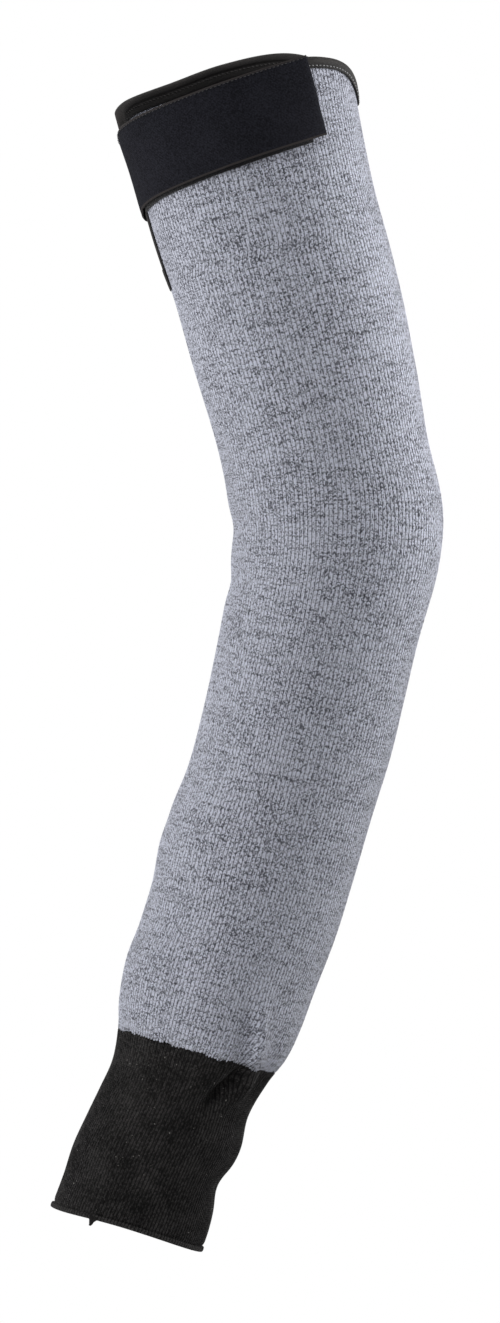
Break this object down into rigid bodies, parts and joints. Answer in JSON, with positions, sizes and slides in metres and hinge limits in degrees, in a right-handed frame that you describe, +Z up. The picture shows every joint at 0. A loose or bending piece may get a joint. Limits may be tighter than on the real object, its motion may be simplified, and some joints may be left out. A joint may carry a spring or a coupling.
{
  "type": "cut resistant sleeve",
  "caption": "Long knitted cut-resistant arm sleeve in flecked grey with a black ribbed wrist cuff, a bound split mouth and a black hook-and-loop strap round the upper arm.",
  "frame": {"origin": "on the sleeve's centre line, at the middle of the closure strap's height, where the strap holds the sleeve on the upper arm", "axes": "+Z up, from the wrist cuff towards the mouth; -Y the front, where the strap's free end is fastened; +X the elbow's outer side; the slit is on the -X side"},
  "size_m": [0.1868, 0.0923, 0.5748],
  "materials": {
    "grey_knit": "matt flecked fine-gauge knit",
    "black_rib": "matt rib knit",
    "black_binding": "folded woven tape with a slight sheen",
    "loop_pile": "matt brushed pile",
    "hook_plastic": "matt moulded hooks",
    "strap_elastic": "closely woven elastic, matt"
  },
  "bodies": {
    "root": {"sleeve_body": "grey_knit", "wrist_cuff": "black_rib", "mouth_binding": "black_binding", "slit_binding": "black_binding", "loop_tape": "loop_pile", "hook_tape": "hook_plastic", "closure_strap": "strap_elastic"}
  },
  "joints": []
}
